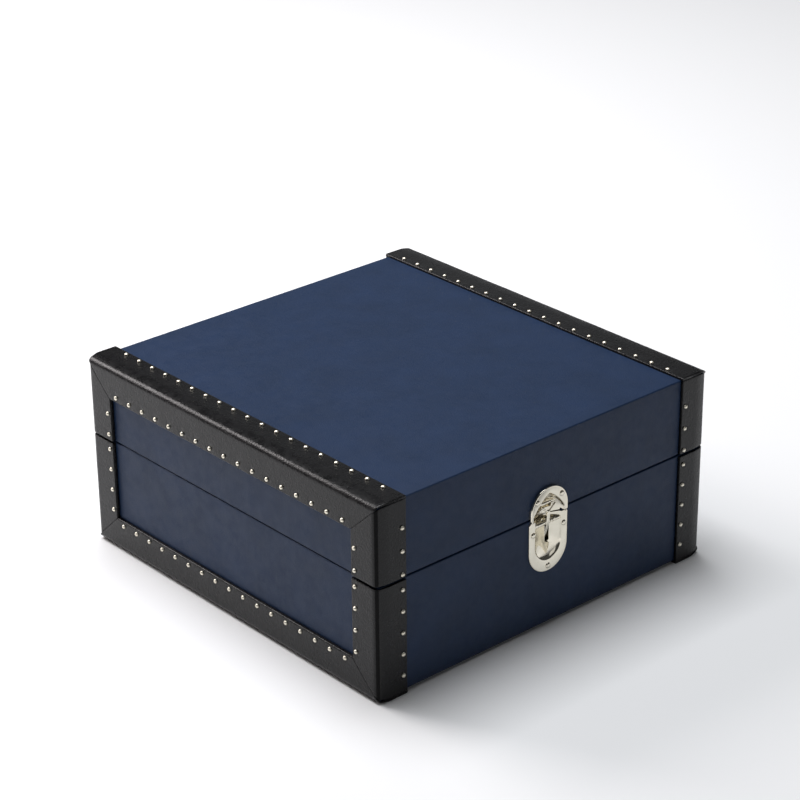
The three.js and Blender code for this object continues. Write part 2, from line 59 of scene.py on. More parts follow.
def high(node):
    """The highest corner of a CAD node, in millimetres."""
    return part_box(node)[1] / MM


# Planes of the case, read from the frame
HALF_X = high("base_trim_bottom_right").x
HALF_Y = high("base_trim_back_left").y
TOP = high("lid_trim_top_left").z
FACE_Y = high("lid_cover").y
FACE_TOP = high("lid_cover").z
FACE_BOTTOM = low("base_cover").z
COVER_END = high("lid_cover").x
END_X = high("lid_end_panel_right").x
RIM_BASE = high("base_cover").z
RIM_LID = low("lid_cover").z
PARTING = (RIM_BASE + RIM_LID) / 2
FLANGE = HALF_X + high("base_trim_front_left").x
BAND = TOP - low("lid_trim_top_left").z
TRIM_LOW = low("lid_trim_front_left").z
TRIM_HIGH = high("base_trim_front_left").z
CAVITY_X = high("base_lining").x + 0.2
CAVITY_Y = high("base_lining").y + 0.2
LEATHER = 1.2
SEAM = 0.3
SIDES = (("left", -1), ("right", 1))
CORNER_STEPS = 5
CLOTH_FRAMES = 20


# ---------------------------------------------------------------- mesh helpers


def mesh_object(name, verts, faces, sharp=40.0):
    """A mesh object from millimetre points, shaded smooth up to an angle."""
    mesh = bpy.data.meshes.new(name)
    mesh.from_pydata([tuple(c * MM for c in v) for v in verts], [], faces)
    bm = bmesh.new()
    bm.from_mesh(mesh)
    bmesh.ops.remove_doubles(bm, verts=bm.verts, dist=1e-6)
    bmesh.ops.recalc_face_normals(bm, faces=bm.faces)
    bm.to_mesh(mesh)
    bm.free()
    mesh.shade_smooth()
    mesh.set_sharp_from_angle(angle=math.radians(sharp))
    obj = bpy.data.objects.new(name, mesh)
    bpy.context.scene.collection.objects.link(obj)
    return obj


def join(name, objects):
    """Joins several mesh objects into one piece."""
    bpy.ops.object.select_all(action="DESELECT")
    for obj in objects:
        obj.select_set(True)
    bpy.context.view_layer.objects.active = objects[0]
    bpy.ops.object.join()
    objects[0].name = name
    objects[0].data.name = name
    return objects[0]


def apply_modifiers(obj):
    """Makes the object's mesh what its modifiers show."""
    bpy.context.view_layer.update()
    evaluated = obj.evaluated_get(bpy.context.evaluated_depsgraph_get())
    mesh = bpy.data.meshes.new_from_object(evaluated)
    obj.modifiers.clear()
    obj.data = mesh


def cut(obj, cutter):
    """Cuts one mesh out of another and removes the cutter."""
    modifier = obj.modifiers.new("cut", "BOOLEAN")
    modifier.operation = "DIFFERENCE"
    modifier.solver = "EXACT"
    modifier.object = cutter
    apply_modifiers(obj)
    bpy.data.objects.remove(cutter)
    obj.data.shade_smooth()
    obj.data.set_sharp_from_angle(angle=math.radians(40))
    return obj


def skin_faces(rows, count):
    """The quads between rows of points that each close on themselves, and the two end faces."""
    faces = []
    for row in range(rows - 1):
        here, there = row * count, (row + 1) * count
        for i in range(count):
            j = (i + 1) % count
            faces.append((here + i, here + j, there + j, there + i))
    faces.append(tuple(reversed(range(count))))
    faces.append(tuple(range((rows - 1) * count, rows * count)))
    return faces


def rounded_polygon(corners, spacing):
    """A closed polyline with round corners.

    corners are (u, v, radius); spacing is the longest step, in one value or one per side.
    """
    count = len(corners)
    points = []
    for i, (u, v, radius) in enumerate(corners):
        here = Vector((u, v))
        before = Vector(corners[i - 1][:2]) - here
        after = Vector(corners[(i + 1) % count][:2]) - here
        turn = math.pi - before.angle(after)
        if radius <= 0 or turn < 0.01:
            points.append((here, here))
            continue
        reach = radius * math.tan(turn / 2)
        start = here + before.normalized() * reach
        stop = here + after.normalized() * reach
        inward = (before.normalized() + after.normalized()).normalized()
        centre = here + inward * (radius / math.cos(turn / 2))
        steps = max(2, round(turn / math.radians(15)))
        arc = []
        for k in range(steps + 1):
            chord = start.lerp(stop, k / steps) - centre
            arc.append(centre + chord.normalized() * radius)
        points.append(tuple(arc))
    path = []
    for i, arc in enumerate(points):
        path += list(arc) if arc[0] != arc[-1] else [arc[0]]
        end = arc[-1]
        nxt = points[(i + 1) % count][0]
        step = spacing[i] if isinstance(spacing, list) else spacing
        pieces = max(1, math.ceil((nxt - end).length / step))
        path += [end.lerp(nxt, k / pieces) for k in range(1, pieces)]
    return path


def outward_normals(path):
    """The outward normals of a closed polyline in a plane."""
    count = len(path)
    area = sum(path[i - 1].cross(path[i]) for i in range(count))
    side = 1 if area > 0 else -1
    normals = []
    for i in range(count):
        along = (path[(i + 1) % count] - path[i - 1]).normalized()
        normals.append(Vector((along.y, -along.x)) * side)
    return normals


def sweep(name, path, ends, place, spacing, round_end, sink=None):
    """A closed cross-section carried along a straight line, with rounded ends.

    ends(u, v) gives where the line through a point of the section starts and stops, so that an
    end can be mitred. place(u, v, s) gives the point in the case's frame. sink(u, v, s) is how
    far the surface is pressed in there.
    """
    normals = outward_normals(path)
    spans = [ends(p.x, p.y) for p in path]
    longest = max(stop - start for start, stop in spans)
    inner_rows = max(1, math.ceil(longest / spacing))
    turned = []
    for degrees in (0, 30, 60):
        bend = math.radians(degrees)
        turned.append((round_end * (1 - math.sin(bend)), round_end * (1 - math.cos(bend))))
    stations = [(inset, shift, -1) for inset, shift in turned]
    stations += [(0.0, k / inner_rows, 0) for k in range(inner_rows + 1)]
    stations += [(inset, shift, 1) for inset, shift in reversed(turned)]
    verts = []
    for inset, value, end in stations:
        for point, normal, (start, stop) in zip(path, normals, spans):
            if end == -1:
                s = start + value
            elif end == 1:
                s = stop - value
            else:
                s = start + round_end + value * (stop - start - 2 * round_end)
            depth = inset
            if sink:
                depth += sink(point.x, point.y, s)
            spot = point - normal * depth
            verts.append(place(spot.x, spot.y, s))
    return mesh_object(name, verts, skin_faces(len(stations), len(path)))


def ring_points(half_x, half_y, radius, side_steps):
    """A rounded rectangle round the origin, anticlockwise from its +X side."""
    radius = max(min(radius, half_x, half_y), 0.01)
    points = []
    for corner, (sx, sy) in enumerate(((1, 1), (-1, 1), (-1, -1), (1, -1))):
        centre = Vector((sx * (half_x - radius), sy * (half_y - radius)))
        for k in range(CORNER_STEPS + 1):
            turn = math.radians(90 * (corner + k / CORNER_STEPS))
            points.append(centre + Vector((math.cos(turn), math.sin(turn))) * radius)
    full = []
    for i, point in enumerate(points):
        full.append(point)
        if (i + 1) % (CORNER_STEPS + 1) == 0:
            nxt = points[(i + 1) % len(points)]
            full += [point.lerp(nxt, k / side_steps) for k in range(1, side_steps)]
    return full


def ring_loft(name, rings, centre, sharp, side_steps=1):
    """Rounded rectangles (half_x, half_y, radius, z) joined into one closed skin."""
    verts = []
    for half_x, half_y, radius, z in rings:
        for p in ring_points(half_x, half_y, radius, side_steps):
            verts.append((p.x + centre[0], p.y + centre[1], z))
    return mesh_object(name, verts, skin_faces(len(rings), len(verts) // len(rings)), sharp)


def lathe(name, profile, place, steps=24):
    """A profile of (radius, height) turned round an axis; place(a, b, h) puts each point."""
    verts = []
    for radius, height in profile:
        for k in range(steps):
            turn = 2 * math.pi * k / steps
            verts.append(place(radius * math.cos(turn), radius * math.sin(turn), height))
    return mesh_object(name, verts, skin_faces(len(profile), steps), 50.0)


def rounded_box(name, box_low, box_high, radius):
    """A box with all its edges rounded by lofted rings."""
    centre = ((box_low[0] + box_high[0]) / 2, (box_low[1] + box_high[1]) / 2)
    half_x = (box_high[0] - box_low[0]) / 2
    half_y = (box_high[1] - box_low[1]) / 2
    rings = []
    for k in range(4):
        bend = math.radians(30 * k)
        inset = radius * (1 - math.sin(bend))
        height = box_low[2] + radius * (1 - math.cos(bend))
        rings.append((half_x - inset, half_y - inset, radius, height))
    rings += [(hx, hy, r, box_low[2] + box_high[2] - z) for hx, hy, r, z in reversed(rings)]
    return ring_loft(name, rings, centre, 60.0)


# ---------------------------------------------------------------- materials


class Shader:
    """A node material with short calls for its nodes.

    sockets are constant values on the surface, with _ for each space in a socket's name.
    """

    def __init__(self, name, **sockets):
        self.material = bpy.data.materials.new(name)
        self.material.use_nodes = True
        self.tree = self.material.node_tree
        self.surface = self.tree.nodes["Principled BSDF"]
        for socket, value in sockets.items():
            self.surface.inputs[socket.replace("_", " ")].default_value = value
        coordinates = self.tree.nodes.new("ShaderNodeTexCoord")
        self.place = coordinates.outputs["Object"]

    def node(self, kind, links, **settings):
        node = self.tree.nodes.new("ShaderNode" + kind)
        for key, value in settings.items():
            setattr(node, key, value)
        for socket, value in links.items():
            if isinstance(value, bpy.types.NodeSocket):
                self.tree.links.new(value, node.inputs[socket])
            else:
                node.inputs[socket].default_value = value
        return node

    def noise(self, scale, detail=3.0, roughness=0.5, place=None):
        """Noise in the object's own space, unless another place is given."""
        links = {"Vector": place or self.place, "Scale": scale}
        links |= {"Detail": detail, "Roughness": roughness}
        return self.node("TexNoise", links).outputs["Fac"]

    def ramp(self, value, stops):
        """Colours between stops of (position, colour)."""
        node = self.node("ValToRGB", {"Fac": value})
        elements = node.color_ramp.elements
        while len(elements) < len(stops):
            elements.new(0.5)
        for element, (position, colour) in zip(elements, stops):
            element.position = position
            element.color = (*colour, 1.0)
        return node.outputs["Color"]

    def math(self, operation, first, second):
        return self.node("Math", {0: first, 1: second}, operation=operation).outputs["Value"]

    def bump(self, height, strength, distance):
        """A normal bent by a height; distance is the relief in metres."""
        links = {"Height": height, "Strength": strength, "Distance": distance}
        return self.node("Bump", links).outputs["Normal"]

    def set(self, socket, value):
        """Links a value into the surface."""
        self.tree.links.new(value, self.surface.inputs[socket])


def linear(red, green, blue):
    """A linear colour from 0-255 display values."""
    colour = []
    for c in (red, green, blue):
        colour.append(((c / 255 + 0.055) / 1.055) ** 2.4 if c > 10 else c / 255 / 12.92)
    return tuple(colour)


def grey(value):
    """A plain value as a colour, for a ramp that feeds a number."""
    return (value, value, value)


def leather(name, dark, light, grain, roughness, bump, gloss_level):
    """Leather with a fine pebbled grain, soft mottling and slightly uneven gloss."""
    shader = Shader(name, Specular_IOR_Level=gloss_level)
    mottle = shader.noise(38.0, 4.0, 0.6)
    shader.set("Base Color", shader.ramp(mottle, [(0.3, dark), (0.72, light)]))
    links = {"Vector": shader.place, "Scale": grain, "Randomness": 1.0}
    cells = shader.node("TexVoronoi", links, feature="F1").outputs["Distance"]
    creases = shader.noise(grain * 0.45, 5.0, 0.6)
    height = shader.math("ADD", cells, creases)
    shader.set("Normal", shader.bump(height, bump, 0.0004))
    gloss = shader.noise(160.0, 3.0, 0.5)
    stops = [(0.3, grey(roughness - 0.05)), (0.7, grey(roughness + 0.07))]
    shader.set("Roughness", shader.ramp(gloss, stops))
    return shader.material


def navy_leather():
    """The covers' smooth leather."""
    dark, light = linear(21, 40, 67), linear(25, 45, 75)
    return leather("navy_leather", dark, light, 1500.0, 0.48, 0.26, 0.26)


def black_leather():
    """The trims' coarser and glossier leather."""
    dark, light = linear(11, 11, 12), linear(15, 14, 16)
    return leather("black_leather", dark, light, 900.0, 0.27, 0.3, 0.28)


def painted_shade_leather():
    """The black leather on the rounded upright corners, darker and matt: painted shade for the dark
    reflection that falls on those corners.
    """
    dark, light = linear(7, 7, 8), linear(10, 10, 11)
    return leather("painted_shade_leather", dark, light, 900.0, 0.5, 0.3, 0.1)


def nickel(name, roughness):
    """Nickel plate with faint wiping marks."""
    shader = Shader(name, Metallic=1.0)
    tone = shader.noise(220.0, 2.0)
    colours = [(0.3, (0.82, 0.77, 0.645)), (0.7, (0.88, 0.83, 0.71))]
    shader.set("Base Color", shader.ramp(tone, colours))
    marks = shader.noise(900.0, 4.0, 0.7)
    stops = [(0.35, grey(roughness)), (0.75, grey(roughness + 0.08))]
    shader.set("Roughness", shader.ramp(marks, stops))
    shader.set("Normal", shader.bump(marks, 0.03, 0.0002))
    return shader.material


def suede(name, dark, light):
    """Microsuede: a short uneven nap with brushed patches."""
    shader = Shader(name, Roughness=0.95, Sheen_Weight=0.35, Sheen_Roughness=0.45)
    patches = shader.noise(26.0, 4.0, 0.65)
    fine = shader.noise(2600.0, 3.0, 0.7)
    coarse_part = shader.math("MULTIPLY", patches, 0.7)
    blend = shader.math("ADD", coarse_part, shader.math("MULTIPLY", fine, 0.3))
    shader.set("Base Color", shader.ramp(blend, [(0.35, dark), (0.65, light)]))
    shader.set("Normal", shader.bump(fine, 0.35, 0.0003))
    return shader.material


def board():
    """Plain sanded wood under the leather."""
    shader = Shader("board", Roughness=0.65)
    links = {"Vector": shader.place, "Scale": (4.0, 60.0, 60.0)}
    stretch = shader.node("Mapping", links).outputs["Vector"]
    grain = shader.noise(1.0, 6.0, 0.65, stretch)
    stops = [(0.3, linear(150, 112, 72)), (0.7, linear(190, 152, 106))]
    shader.set("Base Color", shader.ramp(grain, stops))
    shader.set("Normal", shader.bump(grain, 0.1, 0.0004))
    return shader.material


NAVY = navy_leather()
BLACK = black_leather()
PAINTED_SHADE = painted_shade_leather()
NICKEL = nickel("nickel", 0.1)
NAIL = nickel("nail_nickel", 0.36)
STEEL = nickel("spring_steel", 0.3)
BOARD = board()
LINING = suede("lining_suede", linear(152, 143, 131), linear(172, 163, 150))
TRAY = suede("tray_suede", linear(158, 149, 137), linear(178, 170, 157))
PADDED = suede("padded_suede", linear(165, 157, 145), linear(186, 178, 166))


def finish(obj, material, body, *nodes):
    """Gives a piece its material, its body and the CAD nodes that it stands for."""
    obj.data.materials.clear()
    obj.data.materials.append(material)
    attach(obj, body)
    if nodes:
        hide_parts(*nodes)


def retouch(node, material):
    """Gives a CAD node that stays in the picture its procedural material."""
    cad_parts[node].data.materials.clear()
    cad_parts[node].data.materials.append(material)


def rod(name, start, stop, profile, sides):
    """A round rod between two points; profile gives (part of the way, radius)."""
    a, b = Vector(start), Vector(stop)
    along = (b - a).normalized()
    side = along.orthogonal().normalized()
    other = along.cross(side)
    turned = [(radius, (b - a).length * t) for t, radius in profile]
    return lathe(name, turned, lambda u, v, h: a + side * u + other * v + along * h, sides)


# ---------------------------------------------------------------- trims and nails

FLANGE_THICK = 1.95
BAND_THICK = 2.6
END_ROUND = 4.0
MITRE_START = TOP - FACE_TOP
SHOULDER = 8.5  # a flange's face falls away towards the corner from here
CORNER_FALL = 1.5
NAIL_PITCH = 15.0
NAIL_FLANGE = 21.3  # from the end face to the nails of a flange
NAIL_BAND = 21.5  # from the flange's face to the nails of a band
NAIL_RADIUS = 1.55
NAIL_HEIGHT = 1.15
DENT = 0.32  # how deep a nail pulls the leather in
SHADED_CORNER_TURN = 0.42  # least part of a face's normal along X and along Y on an upright corner that gets the painted shade


def strip_section():
    """A trim's section in (f, e): f runs in from the end face, e in from the flange's face."""
    corners = [
        (FLANGE, FLANGE_THICK, 0.3),
        (FLANGE, 0.0, 0.9),
        (SHOULDER, 0.0, 24.0),
        (0.0, CORNER_FALL, END_ROUND),
        (0.0, BAND, 1.1),
        (BAND_THICK, BAND, 0.3),
        (BAND_THICK, FLANGE_THICK, 0.0),
    ]
    return rounded_polygon(corners, [1.0, 1.6, 1.6, 1.6, 1.0, 8.0, 8.0])


def corner_fall(f):
    """How far a flange's face has fallen away at a distance f from the end face."""
    return CORNER_FALL * max(1.0 - f / SHOULDER, 0.0)


def nail(f, e, s, place):
    """A domed nail head on the outer face at (f, e, s)."""
    spot = Vector(place(f, e, s))
    inside = Vector(place(f + (2 if f == 0 else 0), e + (2 if e == 0 else 0), s))
    axis = (spot - inside).normalized()
    side = axis.orthogonal().normalized()
    other = axis.cross(side)
    profile = [(1.25, -0.5), (NAIL_RADIUS, -0.15)]
    for degrees in (5, 25, 45, 65, 84):
        bend = math.radians(degrees)
        profile.append((NAIL_RADIUS * math.cos(bend), NAIL_HEIGHT * math.sin(bend)))
    return lathe("nail", profile, lambda a, b, h: spot + side * a + other * b + axis * h, 14)


def trim_strip(name, body, place, ends, flange_nails, band_nails):
    """One leather strip with its row of nails on the flange and on the band."""
    seed = Vector((sum(map(ord, name)) % 97, 3.1, 7.7))
    nails = [(NAIL_FLANGE, 0.0, s) for s in flange_nails]
    nails += [(0.0, NAIL_BAND, s) for s in band_nails]

    def sink(f, e, s):
        if f > BAND_THICK - 0.5 and e > FLANGE_THICK - 0.5:
            return 0.0
        wave = noise.noise(Vector((f, e, s)) * 0.045 + seed)
        depth = 0.1 + 0.1 * wave
        for nf, ne, ns in nails:
            away = (f - nf) ** 2 + (e - ne) ** 2 + (s - ns) ** 2
            if away < 40:
                depth += DENT * math.exp(-away / 5.5)
        return depth

    strip = sweep(name, strip_section(), ends, place, 1.5, 0.3, sink)
    finish(strip, BLACK, body, name)
    # The rounded upright corners take the darker, matt leather: painted shade standing in for the
    # dark reflection there.
    strip.data.materials.append(PAINTED_SHADE)
    for face in strip.data.polygons:
        across, along, up = (abs(part) for part in face.normal)
        if min(across, along) > SHADED_CORNER_TURN and up < 0.2:
            face.material_index = 1
    heads = join("nails_" + name, [nail(f, e, s, place) for f, e, s in nails])
    finish(heads, NAIL, body)


def spaced(first, last, count):
    """Evenly spaced values from the first to the last."""
    return [first + (last - first) * k / (count - 1) for k in range(count)]


def long_trim(name, body, sx, top):
    """The strip along the top or the bottom edge of one end."""

    def place(f, e, s):
        return (sx * (HALF_X - f), s, TOP - e if top else e)

    def ends(f, e):
        mitre = max(e - MITRE_START, 0.0) * BAND / (BAND - MITRE_START)
        stop = HALF_Y - max(mitre, corner_fall(f)) - SEAM / 2
        return (-stop, stop)

    # The case stands on its bottom flanges, so those have no nails
    flange_nails = spaced(-9 * NAIL_PITCH, 9 * NAIL_PITCH, 19) if top else []
    band_nails = spaced(-8 * NAIL_PITCH, 8 * NAIL_PITCH, 17)
    trim_strip(name, body, place, ends, flange_nails, band_nails)


def upright_trims(corner, side, sx, sy):
    """The lid's and the base's strips on one upright corner."""
    slope = (BAND - MITRE_START) / BAND

    def place(f, e, s):
        return (sx * (HALF_X - f), sy * (HALF_Y - e), s)

    def lid_ends(f, e):
        return (TRIM_LOW, FACE_TOP - e * slope - SEAM / 2)

    def base_ends(f, e):
        return (FACE_BOTTOM + e * slope + SEAM / 2, TRIM_HIGH)

    lid_nails = (spaced(88.0, 121.0, 3), spaced(90.0, 106.0, 2))
    base_nails = (spaced(14.5, 77.0, 5), spaced(31.0, 78.5, 4))
    trim_strip(f"lid_trim_{corner}_{side}", "lid", place, lid_ends, *lid_nails)
    trim_strip(f"base_trim_{corner}_{side}", "base", place, base_ends, *base_nails)


def make_trims():
    """The twelve trims and their nails."""
    for side, sx in SIDES:
        long_trim(f"lid_trim_top_{side}", "lid", sx, True)
        long_trim(f"base_trim_bottom_{side}", "base", sx, False)
        upright_trims("front", side, sx, -1)
        upright_trims("back", side, sx, 1)


# ---------------------------------------------------------------- covers

BASE_DISH = (11.6, 62.6)  # the hollow's half width and the height of its round end's centre
LID_DISH = (14.0, 85.8)


def catch_opening(lid):
    """A cutter for the hollow behind the catch: round below in the base, round above in the lid."""
    radius, centre = LID_DISH if lid else BASE_DISH
    radius += 0.6
    if lid:
        end = RIM_LID - 3
        outline = [(radius, end)] + arc(centre, radius, 0, 180) + [(-radius, end)]
    else:
        end = RIM_BASE + 3
        outline = [(-radius, end)] + arc(centre, radius, 180, 360) + [(radius, end)]
    verts = [(x, -FACE_Y - 4, z) for x, z in outline] + [(x, -FACE_Y + 4, z) for x, z in outline]
    return mesh_object("catch_opening", verts, skin_faces(2, len(outline)))


def arc(centre, radius, start, stop):
    """Points of an arc, in degrees, about a point on the middle line."""
    turns = [math.radians(start + (stop - start) * k / 16) for k in range(17)]
    return [(radius * math.cos(t), centre + radius * math.sin(t)) for t in turns]


def cover(name, body, rim, far, lid):
    """The wrapped sheet of one half: rim fold, front, top or bottom, back, rim fold."""
    inward = LEATHER if lid else -LEATHER
    inner_far = far - inward
    inner_y = FACE_Y - LEATHER
    corners = [
        (-CAVITY_Y, rim, 0.4),
        (-FACE_Y, rim, 0.9),
        (-FACE_Y, far, 1.1),
        (FACE_Y, far, 1.1),
        (FACE_Y, rim, 0.9),
        (CAVITY_Y, rim, 0.4),
        (CAVITY_Y, rim + inward, 0.2),
        (inner_y, rim + inward, 0.0),
        (inner_y, inner_far, 0.0),
        (-inner_y, inner_far, 0.0),
        (-inner_y, rim + inward, 0.0),
        (-CAVITY_Y, rim + inward, 0.2),
    ]
    path = rounded_polygon(corners, 12.0)

    def ends(y, z):
        on_rim = abs(z - rim) < 1.5 and abs(y) < FACE_Y - 0.3
        mitre = (abs(y) - CAVITY_Y) * (END_X - CAVITY_X) / (FACE_Y - CAVITY_Y)
        reach = min(CAVITY_X + mitre - SEAM, COVER_END) if on_rim else COVER_END
        return (-reach, reach)

    piece = sweep(name, path, ends, lambda y, z, s: (s, y, z), 12.0, 0.2)
    cut(piece, catch_opening(lid))
    finish(piece, NAVY, body, name)


def end_panel(name, body, rim, far, lid, sx):
    """The recessed panel of one end, with its fold over the rim."""
    inward = LEATHER if lid else -LEATHER
    inner_x = END_X - LEATHER
    corners = [
        (CAVITY_X, rim, 0.4),
        (END_X, rim, 0.9),
        (END_X, far, 0.3),
        (inner_x, far, 0.3),
        (inner_x, rim + inward, 0.0),
        (CAVITY_X, rim + inward, 0.2),
    ]
    path = rounded_polygon(corners, 12.0)

    def ends(x, z):
        if x > inner_x - 0.1:
            return (-FACE_Y, FACE_Y)
        reach = CAVITY_Y + (x - CAVITY_X) * (FACE_Y - CAVITY_Y) / (END_X - CAVITY_X) - SEAM
        return (-reach, reach)

    piece = sweep(name, path, ends, lambda x, z, s: (sx * x, s, z), 12.0, 0.2)
    finish(piece, NAVY, body, name)


def make_covers():
    """The wrapped covers of base and lid, and their end panels."""
    cover("base_cover", "base", RIM_BASE, FACE_BOTTOM, False)
    cover("lid_cover", "lid", RIM_LID, FACE_TOP, True)
    for side, sx in SIDES:
        end_panel(f"base_end_panel_{side}", "base", RIM_BASE, FACE_BOTTOM, False, sx)
        end_panel(f"lid_end_panel_{side}", "lid", RIM_LID, FACE_TOP, True, sx)


# ---------------------------------------------------------------- catch

PIN_Z = (low("catch_pin").z + high("catch_pin").z) / 2
PIN_OUT = -(low("catch_pin").y + high("catch_pin").y) / 2 - FACE_Y
KNUCKLE = 1.8
SLOT_LOW = 63.9
SLOT_HALF = 1.9
SLOT_OUT = -7.2
WINDOW_LOW = 86.9
WINDOW_HIGH = 90.9
WINDOW_HALF = 5.6
WINDOW_OUT = -7.7
FORK = 84.8  # height at which the lever's fin becomes two arms


def u_curve(half_width, end, centre, corner, fullness):
    """A U from one end of its left side, round, to the end of its right side.

    A U with its round above its ends stands for an arch. corner rounds off the two ends, and a
    fullness under 2 makes the round more pointed.
    """
    steps_side, steps_round = 12, 32
    side = []
    for k in range(steps_side):
        z = end + (centre - end) * (k / steps_side) ** 1.6
        short = max(corner - abs(z - end), 0.0)
        side.append((half_width - corner + math.sqrt(max(corner ** 2 - short ** 2, 0.0)), z))
    turn = -1 if centre < end else 1
    middle = []
    for k in range(steps_round + 1):
        bend = math.pi * k / steps_round
        across, along = math.cos(bend), math.sin(bend)
        x = -half_width * math.copysign(abs(across) ** (2 / fullness), across)
        middle.append((x, centre + turn * half_width * abs(along) ** (2 / fullness)))
    return [(-x, z) for x, z in side] + middle + list(reversed(side))


def pressed_plate(name, outer, dish, end, face_out, bead, fullness, long_end):
    """A plate pressed from sheet: turned-down outer edge, flat face, and a trough for the lever.

    outer and dish are (half_width, height of the round's centre). bead is how far a bead stands
    up just inside the outer edge. long_end is how much more gently the trough rises towards its
    round end than towards its sides.
    """
    outer_width, outer_centre = outer
    dish_width, dish_centre = dish
    edge = (
        (0.0, 0.1),
        (0.0, face_out - 0.55),
        (0.12, face_out - 0.2),
        (0.4, face_out + bead * 0.8),
        (0.75, face_out + bead),
        (1.1, face_out + bead * 0.8),
        (1.5, face_out),
    )
    rows = [(outer_width - inset, outer_centre, out, 1.5, 2.0) for inset, out in edge]
    lip = ((0.95, face_out), (0.55, face_out - 0.07), (0.2, face_out - 0.3), (0.0, face_out - 0.7))
    rows += [(dish_width + grow, dish_centre, out, 0.0, fullness) for grow, out in lip]
    trough = ((0.035, 0.1), (0.1, -0.5), (0.26, -1.45), (0.43, -2.3), (0.6, -3.0), (0.77, -3.55))
    trough += ((0.9, -3.85), (0.999, -4.0))
    away = math.copysign(long_end, end - dish_centre)
    for part, out in trough:
        width = dish_width * (1 - part)
        rows.append((width, dish_centre + away * part * dish_width, out, 0.0, fullness))
    verts, faces = [], []
    for half_width, centre, out, corner, round_fullness in rows:
        for x, z in u_curve(half_width, end, centre, corner, round_fullness):
            verts.append((x, -FACE_Y - out, z))
    count = len(verts) // len(rows)
    for row in range(len(rows) - 1):
        for i in range(count - 1):
            here, there = row * count + i, (row + 1) * count + i
            faces.append((here, here + 1, there + 1, there))
    last = (len(rows) - 1) * count
    for i in range(count // 2):
        faces.append((last + i, last + i + 1, last + count - 2 - i, last + count - 1 - i))
    plate = mesh_object(name, verts, [f for f in faces if len(set(f)) > 2], 35.0)
    towards = sum((p.normal.y for p in plate.data.polygons), 0.0)
    if towards > 0:
        plate.data.flip_normals()
    solid = plate.modifiers.new("sheet", "SOLIDIFY")
    solid.thickness = 0.8 * MM
    solid.offset = -1
    apply_modifiers(plate)
    plate.data.shade_smooth()
    plate.data.set_sharp_from_angle(angle=math.radians(38))
    return plate


def bar_x(name, radius, x0, x1, out, z, round_end=0.4):
    """A polished bar along X with softened ends, out in front of the cover's face."""
    profile = [
        (radius - round_end, x0),
        (radius - round_end * 0.3, x0 + round_end * 0.3),
        (radius, x0 + round_end),
        (radius, x1 - round_end),
        (radius - round_end * 0.3, x1 - round_end * 0.3),
        (radius - round_end, x1),
    ]
    return lathe(name, profile, lambda a, b, h: (h, -FACE_Y - out + a, z + b), 32)


def box_out(name, half_x, out0, out1, z0, z1, radius):
    """A box with soft edges between two distances in front of the cover's face."""
    box_low, box_high = (-half_x, -FACE_Y - out1, z0), (half_x, -FACE_Y - out0, z1)
    return rounded_box(name, box_low, box_high, radius)


def loft_z(name, sections, sharp):
    """Joins sections of (x, out) points at rising heights into one closed skin."""
    verts = []
    for z, points in sections:
        verts += [(x, -FACE_Y - out, z) for x, out in points]
    return mesh_object(name, verts, skin_faces(len(sections), len(sections[0][1])), sharp)


def dish_rib():
    """The ridge up the middle of the lower dish, which becomes the two sides of the slot."""
    ridge = ((-3.0, -4.2), (-1.5, -1.15), (0.0, 1.9), (1.5, -1.15), (3.0, -4.2))
    sides = ((-3.3, -4.3), (-2.15, -0.6), (0.0, -0.2), (2.15, -0.6), (3.3, -4.3))
    rise = (
        (52.4, 0.25, 3.9),
        (53.2, 0.42, 2.9),
        (55.0, 0.6, 2.0),
        (58.0, 0.8, 1.15),
        (60.5, 0.93, 0.55),
    )
    sections = []
    for z, width, drop in rise:
        sections.append((z, [(x * width, out - drop) for x, out in ridge]))
    sections.append((63.2, ridge))
    top = PIN_Z - KNUCKLE - 0.5
    sections += [(64.2, sides), (70.0, sides), (top, sides)]
    return loft_z("dish_rib", sections, 20.0)


def base_plate():
    """The lower plate with its rib, its slot and its two knuckles."""
    node_low, node_high = low("catch_base_plate"), high("catch_base_plate")
    outer = (node_high.x, node_low.z + node_high.x)
    plate = pressed_plate("base_plate", outer, BASE_DISH, node_high.z, 1.3, 0.0, 2.0, 0.9)
    half, back, foot, head = SLOT_HALF + 0.6, SLOT_OUT - 0.6, SLOT_LOW - 0.6, PIN_Z + 0.6
    pocket = box_out("slot_pocket", half, back, -3.9, foot, head, 0.3)
    pieces = [plate, dish_rib(), pocket]
    for piece in pieces:
        cut(piece, box_out("slot", SLOT_HALF, SLOT_OUT, 4.0, SLOT_LOW, PIN_Z, 0.05))
    pieces.append(bar_x("knuckle_left", KNUCKLE, -12.0, -2.5, PIN_OUT, PIN_Z))
    pieces.append(bar_x("knuckle_right", KNUCKLE, 5.0, 12.0, PIN_OUT, PIN_Z))
    return join("catch_base_plate_piece", pieces)


def lid_plate():
    """The upper plate with the deep window behind the lever's arms."""
    node_low, node_high = low("catch_lid_plate"), high("catch_lid_plate")
    outer = (node_high.x, node_high.z - node_high.x)
    plate = pressed_plate("lid_plate", outer, LID_DISH, node_low.z, 2.0, 0.3, 1.25, 0.0)
    pieces = [plate, window_box("window_pocket", 0.5, -3.7)]
    for piece in pieces:
        cut(piece, window_box("window", 0.0, 4.0))
    return join("catch_lid_plate_piece", pieces)


def window_box(name, grow, out1):
    """The room of the upper plate's window, grown by the same amount all round but in front."""
    z0, z1 = WINDOW_LOW - grow, WINDOW_HIGH + grow
    return box_out(name, WINDOW_HALF + grow, WINDOW_OUT - grow, out1, z0, z1, 0.05)


def lid_carcass():
    """The lid's boards, with room behind the window in the catch."""
    obj = bpy.data.objects.new("lid_carcass_piece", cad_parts["lid_carcass"].data.copy())
    bpy.context.scene.collection.objects.link(obj)
    return cut(obj, window_box("window_room", 0.7, 4.0))


